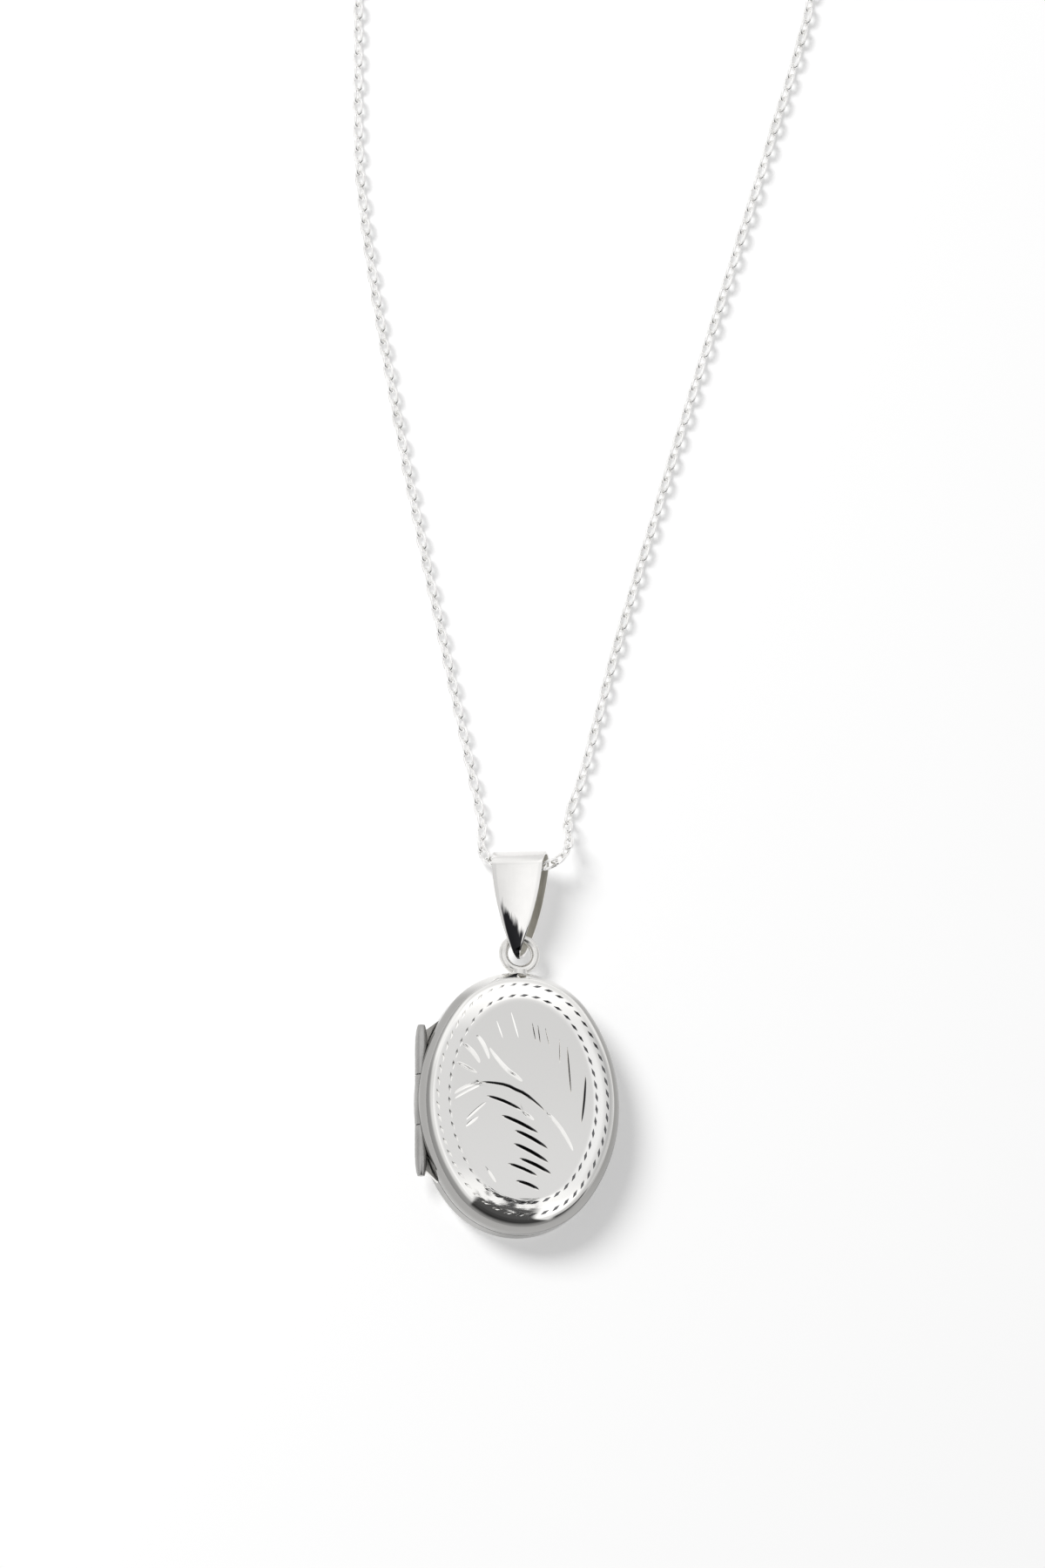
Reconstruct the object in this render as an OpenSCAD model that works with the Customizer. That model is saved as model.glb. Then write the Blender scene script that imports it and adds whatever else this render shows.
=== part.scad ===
// Oval hinged locket with a tapered bail on a fine trace chain, lying on its back.
// Millimetres. +Z is up from the table, +Y runs from the case towards the bail and chain.
// The origin is the middle of the flat resting face of the back cover.

/* [Case] */
// Width of the oval case, without the hinge
case_w = 16; // [12:0.5:24]
// Height of the oval case
case_h = 20.8; // [16:0.2:32]
// Thickness of the closed case
case_t = 4.6; // [3.8:0.1:6]
// Radius of the rounded edge of each cover
edge_r = 1.2; // [0.8:0.05:1.4]
// Thickness of the pressed sheet
sheet_t = 0.35; // [0.25:0.05:0.5]
// Gap between the two closed covers
parting_gap = 0.06; // [0.02:0.01:0.2]

/* [Hinge] */
// Outer radius of the hinge barrel
barrel_r = 0.5; // [0.4:0.05:0.6]
// Length of the whole barrel
barrel_len = 12; // [8:0.2:14]
// Middle of the barrel along the case
barrel_y = 0; // [-1:0.1:1]
// Distance of the pin's axis inside the oval
axis_in = 0.35; // [0.2:0.01:0.4]
// Gap between neighbouring knuckles
knuckle_gap = 0.08; // [0.04:0.01:0.2]
// Radius of the hinge pin
pin_r = 0.25; // [0.15:0.05:0.3]
// Clearance of the pin in the moving knuckle
pin_clear = 0.03; // [0.01:0.01:0.1]
// Clearance round the barrel where the other cover's knuckle turns
turn_clear = 0.14; // [0.06:0.02:0.3]

/* [Inside] */
// Thickness of the snap rim
rim_t = 0.25; // [0.2:0.05:0.4]
// Height the snap rim stands into the front cover
rim_rise = 0.5; // [0.3:0.05:0.8]
// Clearance between the snap rim and the front cover
rim_clear = 0.05; // [0.03:0.01:0.1]
// Radius of the catch bead on the rim
bead_r = 0.14; // [0.1:0.01:0.2]
// Length of the catch bead
bead_len = 4; // [2:0.5:6]
// Width of the flange of a picture frame
frame_w = 1.6; // [1:0.1:2.5]
// Thickness of a picture frame
frame_t = 0.22; // [0.15:0.01:0.35]
// Thickness of a clear window
window_t = 0.25; // [0.15:0.05:0.4]
// Depth of the nail nick at the opening edge
nick_depth = 0.18; // [0.1:0.02:0.25]

/* [Loop and bail] */
// Radius of the hanging loop at the middle of its wire
loop_r = 1.28; // [1:0.02:1.8]
// Radius of the loop's wire
loop_wire_r = 0.36; // [0.3:0.02:0.5]
// Sideways place of the loop on the case
loop_x = 0.3; // [-1:0.1:1]
// Gap between the loop and the case, bridged by its foot
loop_gap = 0.15; // [0.05:0.05:0.4]
// Radius of the loop's foot
foot_r = 0.62; // [0.4:0.02:0.8]
// Width of the bail at its top
bail_w = 4.3; // [3:0.1:6]
// Width of the bail at its foot
bail_foot_w = 0.3; // [0.2:0.05:0.6]
// Bow of the bail's side edges
bail_bow = 0.35; // [0.1:0.05:0.5]
// Length between the centres of the bail's two bends
bail_len = 5.8; // [5:0.1:9]
// Inner radius of the bail's two bends
bail_r = 0.94; // [0.85:0.01:1.2]
// Thickness of the bail's strap
bail_t = 0.36; // [0.25:0.01:0.5]
// Slack between the loop and the bottom bend
bail_slack = 0.2; // [0:0.05:0.4]
// Roll of the lying bail about its length
bail_roll = 26; // [0:1:28]
// Rise of the lying bail towards its top
bail_rise = 4; // [4:0.5:8]

/* [Chain] */
// Pitch of the links
pitch = 1; // [0.9:0.02:1.2]
// Diameter of the link wire
wire_d = 0.27; // [0.22:0.01:0.32]
// Outer width of a link
link_w = 1; // [0.9:0.02:1.2]
// Play of two linked links along the chain
link_play = 0.06; // [0.02:0.01:0.1]
// Radius of the coil's outermost turn
coil_out_r = 8; // [8:0.1:10]
// Radius of the coil's innermost turn
coil_in_r = 2.2; // [2:0.1:2.2]
// Height between the coil's two layers
coil_layer = 1.45; // [1.45:0.05:2]

/* [Clasp] */
// Radius of the bolt ring at the middle of its tube
clasp_r = 2.05; // [1.8:0.05:3]
// Outer radius of the tube
tube_r = 0.55; // [0.5:0.01:0.7]
// Radius of the tube's bore
bore_r = 0.37; // [0.3:0.01:0.4]
// Clearance of the bolt in the bore
bolt_clear = 0.04; // [0.02:0.01:0.08]
// Angle of the ring's opening
mouth_angle = 60; // [45:1:70]
// Radius of the thumb lug's stem
lug_r = 0.17; // [0.12:0.01:0.22]
// Rise of the hooked side of the clasp
clasp_tilt = 7; // [5:0.5:10]

/* [Hidden] */
$fn = 64;
half_w = case_w / 2;
half_h = case_h / 2;
mid_z = case_t / 2;
half_t = (case_t - parting_gap) / 2;
// Four-centred oval set out on a 3-4-5 triangle: the lines through the centres are where its arcs join.
oval_unit = (half_h - half_w) / 2;
end_y = 3 * oval_unit;
side_x = 4 * oval_unit;
end_r = half_h - end_y;
side_r = half_w + side_x;
join_reach = 4;
// The oval's four pieces run on a little way inside the metal of their neighbours.
join_lap = 0.3;
join_inset = 0.06;
inner_r = edge_r - sheet_t;
wall_h = half_t - edge_r;
face_lap = 0.5;

axis_x = -half_w + axis_in;
knuckle_len = (barrel_len - 2 * knuckle_gap) / 3;
end_room = 0.3;
rim_lap = 0.2;
bead_z = parting_gap / 2 + rim_rise / 2;

// A picture lies under the window, and the frame rests where the inside of the cover curves in.
picture_gap = 0.05;
frame_z = sheet_t + picture_gap + window_t;
frame_fit = 0.01;
frame_out = sqrt(inner_r * inner_r - (edge_r - frame_z) * (edge_r - frame_z)) - edge_r - frame_fit;
frame_in = frame_out - frame_w;
frame_lip = (edge_r - frame_z - frame_t) * 0.8;
window_out = -edge_r;

// The loop is soldered to the back cover only, below the parting line.
loop_drop = 0.1;
loop_z = mid_z - loop_wire_r - loop_drop;
loop_y = half_h + loop_gap + loop_r + loop_wire_r;
pivot = [loop_x, loop_y + loop_r, loop_z];

chain_z = 0.5;
coil_turns = 8.25;
coil_mid = coil_turns / 2;
link_reach = (pitch + wire_d + link_play) / 2;
link_end = link_reach + wire_d / 2 - pitch / 2;

clasp_at = [19, 108.5, tube_r + (clasp_r + tube_r) * sin(clasp_tilt)];
clasp_turn = -55;
bolt_r = bore_r - bolt_clear;
mouth_from = 20;
mouth_to = mouth_from + mouth_angle;
tip_angle = 6;
bolt_travel = mouth_angle + tip_angle + 2;
bolt_span = mouth_angle + tip_angle + 60;
bore_to = mouth_to + 215;
lug_angle = mouth_to + 8;
eye_r = 0.36;
eye_wire_r = 0.13;
eye_sink = 0.06;
eye_x = -clasp_r - tube_r - eye_r + eye_sink;
jump_r = 0.7;
jump_wire_r = 0.13;
ring_play = 0.03;
hook_x = eye_x - (eye_r - eye_wire_r - jump_wire_r - ring_play);
end_ring_r = 1.35;
end_ring_wire_r = 0.2;
end_ring_x = clasp_r + 0.4;
spring_r = 0.24;
spring_wire_r = 0.05;
spring_curls = 14;

// Hand-laid route of the chain, from the middle of the bail outwards.
left_route = [
    [0.3, 19.1, 2.2], [-0.7, 19, 1.6], [-1.3, 19.2, 1.35], [-2.2, 19.9, 1.05], [-2.5, 20.7, 0.75],
    [-2.5, 22.2, 0.55], [-2.6, 23.8, 0.5], [-4.9, 34.4, 0.5], [-7, 44, 0.5], [-9, 53.8, 0.5],
    [-11.2, 66, 0.5], [-12.3, 74, 0.5], [-12.6, 80, 0.5], [-12.6, 90, 0.5], [-12.6, 101, 0.5]
];
right_route = [
    [0.3, 19.1, 2.2], [1.5, 18.85, 2.75], [1.95, 19.1, 3], [3.05, 19.55, 3.05], [3.7, 20.25, 2.75],
    [4.25, 21.3, 2.15], [4.3, 22.3, 1.4], [4.6, 24, 0.55], [5.9, 28, 0.5], [8.4, 37.6, 0.5],
    [11.3, 47.6, 0.5], [15, 60, 0.5], [18.8, 72.4, 0.5], [21.7, 82, 0.5], [24.2, 90.5, 0.5],
    [24.8, 95, 0.5], [24.3, 99.5, 0.5], [23.2, 102.65, 0.55], [21.7, 104.5, 1.2],
    clasp_point([end_ring_x + end_ring_r - 0.28, -0.06, 0]) - [0, 0, 0.05]
];
left_joints = joints(left_route);
right_joints = joints(right_route);
coil_start = left_joints[len(left_joints) - 1] + [0, link_end, 0];
coil_at = [coil_start[0] + coil_out_r, coil_start[1] + link_w];
tail_start = [coil_at[0] + link_w + link_end, coil_at[1] + coil_out_r, chain_z + coil_layer];
jump_at = clasp_point([hook_x, 0, 0]) - (2 * jump_r - link_w / 5) * [cos(clasp_turn), sin(clasp_turn), 0];
tail_route = [
    tail_start, [-0.8, tail_start[1] - 0.1, 1.5], [1.6, 110, 0.8], [4.4, 110, 0.53], [8, 111.2, 0.53],
    [11, 113.2, 0.53], [13.4, 114.4, 0.53], [15.2, 114, 0.53], [jump_at[0], jump_at[1], 0.53]
];
tail_joints = joints(tail_route);

// The wedge of the plan that belongs to one side arc, and the one that belongs to one end arc.
module side_wedge() {
    far = [side_x * join_reach, end_y * (join_reach + 1)];
    polygon([[-side_x, 0], [far[0], -far[1]], [far[0], far[1]]]);
}

module end_wedge() {
    far = [side_x * join_reach, end_y * (join_reach + 1)];
    polygon([[0, end_y], [far[0], far[1]], [-far[0], far[1]]]);
}

module oval(grow) {
    for (turn = [0, 180]) {
        rotate(turn) intersection() {
            translate([-side_x, 0]) circle(side_r + grow);
            side_wedge();
        }
        rotate(turn) intersection() {
            translate([0, end_y]) circle(end_r + grow);
            end_wedge();
        }
        rotate(turn) translate([0, end_y]) circle(end_r + grow - join_lap);
    }
}

// Turns a profile drawn from the oval's edge (x = 0, inwards negative) right round the oval.
// The second child is a smaller profile inside the first one, which laps the joins.
module round_oval() {
    tall = 4 * case_t;
    for (turn = [0, 180]) {
        rotate([0, 0, turn]) intersection() {
            translate([-side_x, 0, 0]) rotate_extrude() translate([side_r, 0]) children(0);
            translate([0, 0, -tall / 2]) linear_extrude(tall) side_wedge();
        }
        rotate([0, 0, turn]) intersection() {
            translate([0, end_y, 0]) rotate_extrude() translate([end_r, 0]) children(0);
            translate([0, 0, -tall / 2]) linear_extrude(tall) end_wedge();
        }
        rotate([0, 0, turn]) intersection() {
            translate([0, end_y, 0]) rotate_extrude() translate([end_r, 0]) children(1);
            translate([0, -join_lap, -tall / 2]) linear_extrude(tall) end_wedge();
        }
    }
}

// A rectangle drawn a little smaller all round, for a lap.
module inset_square(corner, size) {
    translate(corner + [join_inset, join_inset]) square(size - 2 * [join_inset, join_inset]);
}

module shell_profile() {
    translate([-sheet_t, 0]) square([sheet_t, wall_h]);
    translate([-edge_r, wall_h]) intersection() {
        difference() {
            circle(edge_r);
            circle(inner_r);
        }
        square(edge_r);
    }
    translate([-edge_r - face_lap, half_t - sheet_t]) square([face_lap, sheet_t]);
}

// A cover with its open edge at z = 0 and its face up.
module shell() {
    round_oval() {
        shell_profile();
        inset_square([-sheet_t, 0], [sheet_t, wall_h]);
    }
    translate([0, 0, half_t - sheet_t]) linear_extrude(sheet_t) oval(-edge_r - face_lap / 2);
}

module barrel(radius, from, to) {
    translate([axis_x, barrel_y + from, mid_z]) rotate([-90, 0, 0]) cylinder(r = radius, h = to - from);
}

module nail_nick() {
    nick_r = 1.5;
    translate([half_w + nick_r - nick_depth, 0, mid_z]) sphere(nick_r);
}

// Room for the fixed and the turning knuckles in one cover.
module barrel_room(middle_r, outer_r) {
    reach = barrel_len / 2 + end_room;
    inner = knuckle_len / 2 + knuckle_gap / 2;
    barrel(middle_r, -inner, inner);
    barrel(outer_r, -reach, -inner);
    barrel(outer_r, inner, reach);
}

module back_cover() color("Silver") difference() {
    translate([0, 0, half_t]) mirror([0, 0, 1]) shell();
    barrel_room(barrel_r + turn_clear, barrel_r);
    nail_nick();
}

module front_cover() color("Silver") difference() {
    translate([0, 0, case_t - half_t]) shell();
    barrel_room(barrel_r, barrel_r + turn_clear);
    nail_nick();
    catch_bead(bead_r + rim_clear);
}

// Half-round bead across the opening side, on the outer face of the snap rim.
module catch_bead(radius) {
    spread = asin(bead_len / 2 / side_r);
    translate([-side_x, 0, mid_z + bead_z]) rotate([0, 0, -spread])
        rotate_extrude(angle = 2 * spread) translate([side_r - sheet_t - rim_clear, 0]) circle(radius);
}

module snap_rim() color("Gainsboro") difference() {
    union() {
        round_oval() {
            union() {
                translate([-sheet_t - rim_t, half_t - wall_h]) square([rim_t, wall_h]);
                translate([-sheet_t - rim_t, half_t - rim_lap])
                    square([rim_t - rim_clear, rim_lap + parting_gap + rim_rise]);
            }
            inset_square([-sheet_t - rim_t, half_t - wall_h], [rim_t, wall_h]);
        }
        catch_bead(bead_r);
    }
    translate([axis_x, barrel_y, mid_z]) cube([3, barrel_len + 1.2, 2 * case_t], center = true);
}

// A pressed rim with its flange on the window and an upright lip round the outside.
module picture_frame() {
    round_oval() {
        union() {
            translate([frame_in, frame_z]) square([frame_w, frame_t]);
            translate([frame_out - frame_t, frame_z]) square([frame_t, frame_t + frame_lip]);
        }
        inset_square([frame_in, frame_z], [frame_w, frame_t]);
    }
}

module back_frame() color("Gainsboro") picture_frame();

module front_frame() color("Gainsboro") translate([0, 0, case_t]) mirror([0, 0, 1]) picture_frame();

module window() {
    translate([0, 0, frame_z - window_t]) linear_extrude(window_t) oval(window_out);
}

module back_window() color("LightCyan") window();

module front_window() color("LightCyan") translate([0, 0, case_t]) mirror([0, 0, 1]) window();

module knuckle(from, bore) difference() {
    barrel(barrel_r, from, from + knuckle_len);
    barrel(bore, from - 1, from + knuckle_len + 1);
}

module knuckle_upper() color("Silver") knuckle(barrel_len / 2 - knuckle_len, pin_r);

module knuckle_lower() color("Silver") knuckle(-barrel_len / 2, pin_r);

module knuckle_middle() color("Silver") knuckle(-knuckle_len / 2, pin_r + pin_clear);

module hinge_pin() color("Silver") barrel(pin_r, -barrel_len / 2, barrel_len / 2);

module hanging_loop() color("Silver") difference() {
    union() {
        translate([loop_x, loop_y, loop_z]) rotate_extrude() translate([loop_r, 0]) circle(loop_wire_r);
        translate([loop_x, half_h - 1, loop_z]) rotate([-90, 0, 0])
            cylinder(r = foot_r, h = 1 + loop_gap + loop_wire_r);
    }
    translate([0, 0, -1]) linear_extrude(case_t + 2) oval(0);
}

// Side view of the folded strap: two bends joined by straight legs, in the length (x) and depth (y).
module strap_side(extra) {
    bend = bail_r + extra;
    circle(bend);
    translate([bail_len, 0]) circle(bend);
    translate([0, -bend]) square([bail_len, 2 * bend]);
}

// Front view of the strap, in the width (x) and length (y): each side edge is one bowed arc.
module strap_front() {
    low = -bail_r - bail_t;
    high = bail_len + bail_r + bail_t;
    run = high - low;
    taper = (bail_w - bail_foot_w) / 2;
    chord = sqrt(run * run + taper * taper);
    arc_r = (chord * chord / 4 + bail_bow * bail_bow) / (2 * bail_bow);
    back = arc_r - bail_bow;
    centre = [
        (bail_w + bail_foot_w) / 4 - back * run / chord,
        (low + high) / 2 + back * taper / chord
    ];
    intersection() {
        translate(centre) circle(arc_r, $fn = 200);
        translate([-centre[0], centre[1]]) circle(arc_r, $fn = 200);
        translate([-bail_w, low]) square([2 * bail_w, run]);
    }
}

module bail() color("Silver")
    translate(pivot) rotate([bail_rise, 0, 0]) rotate([0, -bail_roll, 0]) translate([0, -bail_slack, 0])
        intersection() {
            translate([-bail_w, 0, 0]) rotate([90, 0, 90]) linear_extrude(2 * bail_w) difference() {
                strap_side(bail_t);
                strap_side(0);
            }
            translate([0, 0, -case_t]) linear_extrude(2 * case_t) strap_front();
        }

// Smooth curve through route points, then joints one pitch apart along it.
function curve(a, b, c, d, t) = 0.5 * (2 * b + (c - a) * t + (2 * a - 5 * b + 4 * c - d) * t * t
    + (3 * b - a - 3 * c + d) * t * t * t);

function smooth(p, steps) = let (n = len(p)) [
    for (i = [0:n - 2], k = [0:steps - 1])
        curve(p[max(i - 1, 0)], p[i], p[i + 1], p[min(i + 2, n - 1)], k / steps),
    p[n - 1]
];

function lengths(p, i = 1, sum = [0]) =
    i == len(p) ? sum : lengths(p, i + 1, concat(sum, sum[i - 1] + norm(p[i] - p[i - 1])));

function at_length(p, s, along) = let (k = max([for (i = [0:len(p) - 2]) s[i] <= along ? i : 0]))
    p[k] + (p[k + 1] - p[k]) * (along - s[k]) / (s[k + 1] - s[k]);

function joints(route) = let (p = smooth(route, 8), s = lengths(p), run = s[len(s) - 1])
    let (n = ceil(run / pitch)) [
        for (i = [0:n - 1]) at_length(p, s, i * run / n),
        p[len(p) - 1]
    ];

// One soldered link lying along x: two half rings joined by two straight sides.
module link() {
    bend_r = (link_w - wire_d) / 2;
    reach = link_reach - bend_r;
    union() {
        translate([reach, 0, 0]) rotate([0, 0, -90])
            rotate_extrude(angle = 180) translate([bend_r, 0]) circle(d = wire_d, $fn = 24);
        translate([-reach, 0, 0]) rotate([0, 0, 90])
            rotate_extrude(angle = 180) translate([bend_r, 0]) circle(d = wire_d, $fn = 24);
        translate([-reach, bend_r, 0]) rotate([0, 90, 0]) cylinder(d = wire_d, h = 2 * reach, $fn = 24);
        translate([-reach, -bend_r, 0]) rotate([0, 90, 0]) cylinder(d = wire_d, h = 2 * reach, $fn = 24);
    }
}

// Links between neighbouring joints, each turned a quarter against the one before.
module links(p, turn) {
    for (i = [0:len(p) - 2]) {
        run = p[i + 1] - p[i];
        translate((p[i] + p[i + 1]) / 2)
            rotate([0, -atan2(run[2], norm([run[0], run[1]])), atan2(run[1], run[0])])
                rotate([turn + 90 * (i % 2), 0, 0]) link();
    }
}

module chain_left() color("Silver") links(left_joints, 45);

module chain_right() color("Silver") links(right_joints, 45);

module chain_tail() color("Silver") links(tail_joints, 90);

// Centre line of the stored coil: in on the lower layer, up in half a turn, out on the upper one.
coil_rings = round(24 * coil_turns);
function coil_radius(t) = coil_in_r + (coil_out_r - coil_in_r) * abs(t - coil_mid) / coil_mid;
function coil_height(t) = chain_z + coil_layer * min(max(2 * (t - coil_mid) + 0.5, 0), 1);
function coil_point(t) = [
    coil_at[0] - coil_radius(t) * cos(360 * t), coil_at[1] + coil_radius(t) * sin(360 * t), coil_height(t)
];
coil_line = [
    coil_start,
    for (i = [0:coil_rings]) coil_point(i / 24),
    [coil_at[0] + link_w, coil_at[1] + coil_out_r, chain_z + coil_layer]
];
coil_gap = min([
    for (i = [0:len(coil_line) - 1], k = [i + 8:len(coil_line) - 1])
        if (k < len(coil_line)) norm(coil_line[i] - coil_line[k])
]) - link_w;
echo(coil_least_gap_to_itself = coil_gap);
echo(chain_length = pitch * (len(left_joints) + len(right_joints) + len(tail_joints) - 3)
    + lengths(coil_line)[len(coil_line) - 1]);

// A round tube swept along a line of points, as one closed skin. Every ring has a corner on the
// side that its entry in "out" points to.
module tube(line, out, radius, sides) {
    n = len(line);
    ahead = [for (i = [0:n - 1]) let (d = line[min(i + 1, n - 1)] - line[max(i - 1, 0)]) d / norm(d)];
    across = [for (i = [0:n - 1]) let (c = cross(out[i], ahead[i])) c / norm(c)];
    upward = [for (i = [0:n - 1]) cross(ahead[i], across[i])];
    skin = [
        for (i = [0:n - 1], k = [0:sides - 1])
            line[i] + radius * (across[i] * cos(360 * k / sides) + upward[i] * sin(360 * k / sides))
    ];
    wall = [
        for (i = [0:n - 2], k = [0:sides - 1]) let (a = i * sides, m = (k + 1) % sides)
            [a + k, a + m, a + sides + m, a + sides + k]
    ];
    first = [for (k = [sides - 1:-1:0]) k];
    last = [for (k = [0:sides - 1]) (n - 1) * sides + k];
    polyhedron(skin, concat(wall, [first, last]));
}

module chain_coil() color("Silver") tube(coil_line, [for (p = coil_line) [0, 0, 1]], link_w / 2, 6);

// Place of a point of the lying clasp, whose hooked side is raised.
function clasp_point(p) = let (x = p[0] * cos(clasp_tilt), z = p[0] * sin(clasp_tilt))
    clasp_at + [
        x * cos(clasp_turn) - p[1] * sin(clasp_turn),
        x * sin(clasp_turn) + p[1] * cos(clasp_turn),
        z
    ];

module in_clasp() translate(clasp_at) rotate([0, -clasp_tilt, clasp_turn]) children();

module arc(radius, from, to) {
    rotate([0, 0, from]) rotate_extrude(angle = to - from) translate([clasp_r, 0]) circle(radius);
}

module clasp_tube() color("Silver") in_clasp() difference() {
    arc(tube_r, mouth_to, mouth_from + 360);
    arc(bore_r, mouth_to - 1, bore_to);
    arc(bore_r, mouth_from + 360 - tip_angle - 3, mouth_from + 361);
    rotate([0, 0, mouth_to - 1]) rotate_extrude(angle = bolt_travel + 15)
        translate([clasp_r, -lug_r - bolt_clear]) square([2 * tube_r, 2 * (lug_r + bolt_clear)]);
}

module clasp_bolt() color("Silver") in_clasp() {
    arc(bolt_r, mouth_from - tip_angle, mouth_from - tip_angle + bolt_span);
    rotate([0, 0, lug_angle]) translate([clasp_r, 0, 0]) {
        rotate([0, 90, 0]) cylinder(r = lug_r, h = 2 * tube_r);
        translate([2 * tube_r, 0, 0]) sphere(1.5 * lug_r);
    }
}

module clasp_spring() color("DimGray") in_clasp() {
    from = mouth_from - tip_angle + bolt_span + 2;
    step = (bore_to - 2 - from) / (8 * spring_curls);
    out = [
        for (i = [0:8 * spring_curls]) let (angle = from + step * i)
            [cos(45 * i) * cos(angle), cos(45 * i) * sin(angle), sin(45 * i)]
    ];
    line = [
        for (i = [0:8 * spring_curls]) let (angle = from + step * i)
            clasp_r * [cos(angle), sin(angle), 0] + spring_r * out[i]
    ];
    tube(line, out, spring_wire_r, 6);
}

module clasp_eye() color("Silver") in_clasp() difference() {
    translate([eye_x, 0, 0]) ring(eye_r, eye_wire_r, 90);
    arc(tube_r, mouth_to, mouth_from + 360);
}

module ring(radius, wire, lean) {
    rotate([lean, 0, 0]) rotate_extrude() translate([radius, 0]) circle(wire);
}

// The jump ring hangs in the eye and lies level.
module clasp_link() color("Silver") in_clasp()
    translate([hook_x, 0, 0]) rotate([0, clasp_tilt, 0]) translate([-jump_r, 0, 0])
        ring(jump_r, jump_wire_r, 0);

module end_ring() color("Silver") in_clasp()
    translate([end_ring_x, 0, 0]) ring(end_ring_r, end_ring_wire_r, 45);

back_cover();
snap_rim();
back_frame();
back_window();
knuckle_upper();
knuckle_lower();
hinge_pin();
hanging_loop();
front_cover();
knuckle_middle();
front_frame();
front_window();
bail();
chain_left();
chain_right();
chain_coil();
chain_tail();
end_ring();
clasp_tube();
clasp_bolt();
clasp_spring();
clasp_eye();
clasp_link();
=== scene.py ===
import math

import bpy
from mathutils import Matrix, Vector


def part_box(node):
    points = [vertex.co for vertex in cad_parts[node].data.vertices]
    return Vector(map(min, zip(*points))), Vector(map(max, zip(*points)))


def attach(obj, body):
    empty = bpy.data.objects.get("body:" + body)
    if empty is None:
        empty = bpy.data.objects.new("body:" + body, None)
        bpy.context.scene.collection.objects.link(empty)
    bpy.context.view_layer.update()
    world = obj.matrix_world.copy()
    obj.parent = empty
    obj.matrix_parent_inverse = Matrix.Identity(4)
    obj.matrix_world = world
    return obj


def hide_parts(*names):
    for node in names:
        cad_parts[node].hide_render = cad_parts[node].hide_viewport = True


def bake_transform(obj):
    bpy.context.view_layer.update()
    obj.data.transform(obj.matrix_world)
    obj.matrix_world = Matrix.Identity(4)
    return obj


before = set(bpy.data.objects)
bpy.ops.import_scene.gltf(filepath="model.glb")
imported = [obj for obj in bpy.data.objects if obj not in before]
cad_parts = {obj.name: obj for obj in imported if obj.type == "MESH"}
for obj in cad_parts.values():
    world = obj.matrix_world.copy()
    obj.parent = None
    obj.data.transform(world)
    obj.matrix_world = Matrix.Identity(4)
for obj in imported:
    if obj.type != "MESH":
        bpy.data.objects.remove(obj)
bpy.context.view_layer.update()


# Back cover: a shallow oval tray pressed from sheet silver and polished. It lies on the table and
# carries the hinge tubes, the inner rim and the hanging loop, all soldered on.

mm = 0.001


def silver(name, colour, shade, dull, duller, hairline, grain=(260, 260, 260)):
    """Polished silver: cloudy handling wear in its tone, hairline scratches in its gloss and skin."""
    material = bpy.data.materials.new(name)
    material.use_nodes = True
    nodes = material.node_tree.nodes
    links = material.node_tree.links
    shader = nodes["Principled BSDF"]
    shader.inputs["Metallic"].default_value = 1.0
    place = nodes.new("ShaderNodeTexCoord")

    cloud = nodes.new("ShaderNodeTexNoise")
    cloud.inputs["Scale"].default_value = 420
    cloud.inputs["Detail"].default_value = 5
    links.new(place.outputs["Object"], cloud.inputs["Vector"])

    tone = nodes.new("ShaderNodeValToRGB")
    tone.color_ramp.elements[0].position = 0.30
    tone.color_ramp.elements[0].color = (*shade, 1)
    tone.color_ramp.elements[1].position = 0.58
    tone.color_ramp.elements[1].color = (*colour, 1)
    links.new(cloud.outputs["Fac"], tone.inputs["Fac"])
    links.new(tone.outputs["Color"], shader.inputs["Base Color"])

    stretch = nodes.new("ShaderNodeMapping")
    stretch.inputs["Rotation"].default_value = (0, 0, math.radians(24))
    stretch.inputs["Scale"].default_value = grain
    links.new(place.outputs["Object"], stretch.inputs["Vector"])
    scratch = nodes.new("ShaderNodeTexNoise")
    scratch.inputs["Scale"].default_value = 12
    scratch.inputs["Detail"].default_value = 3
    links.new(stretch.outputs["Vector"], scratch.inputs["Vector"])

    gloss = nodes.new("ShaderNodeMapRange")
    gloss.inputs["From Min"].default_value = 0.35
    gloss.inputs["From Max"].default_value = 0.70
    gloss.inputs["To Min"].default_value = dull
    gloss.inputs["To Max"].default_value = duller
    links.new(scratch.outputs["Fac"], gloss.inputs["Value"])
    links.new(gloss.outputs["Result"], shader.inputs["Roughness"])

    skin = nodes.new("ShaderNodeBump")
    skin.inputs["Strength"].default_value = hairline
    skin.inputs["Distance"].default_value = 0.01 * mm
    links.new(scratch.outputs["Fac"], skin.inputs["Height"])
    links.new(skin.outputs["Normal"], shader.inputs["Normal"])
    return material


def mix_tone(material, colour, share):
    """Mixes a second tone into a silver wherever the share, the output of a node, nears 1."""
    links = material.node_tree.links
    base_colour = material.node_tree.nodes["Principled BSDF"].inputs["Base Color"]
    first_tone = base_colour.links[0].from_socket
    mix = material.node_tree.nodes.new("ShaderNodeMix")
    mix.data_type = "RGBA"
    factor, first, second = mix.inputs[0], mix.inputs[6], mix.inputs[7]
    links.new(share, factor)
    links.new(first_tone, first)
    second.default_value = (*colour, 1)
    links.new(mix.outputs[2], base_colour)


def arithmetic(material, operation, first, second=0.0):
    """One step of arithmetic in a material or the room; a value is a number or another step."""
    step = material.node_tree.nodes.new("ShaderNodeMath")
    step.operation = operation
    for socket, value in zip(step.inputs, (first, second)):
        if isinstance(value, (int, float)):
            socket.default_value = value
        else:
            material.node_tree.links.new(value, socket)
    return step.outputs["Value"]


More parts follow.
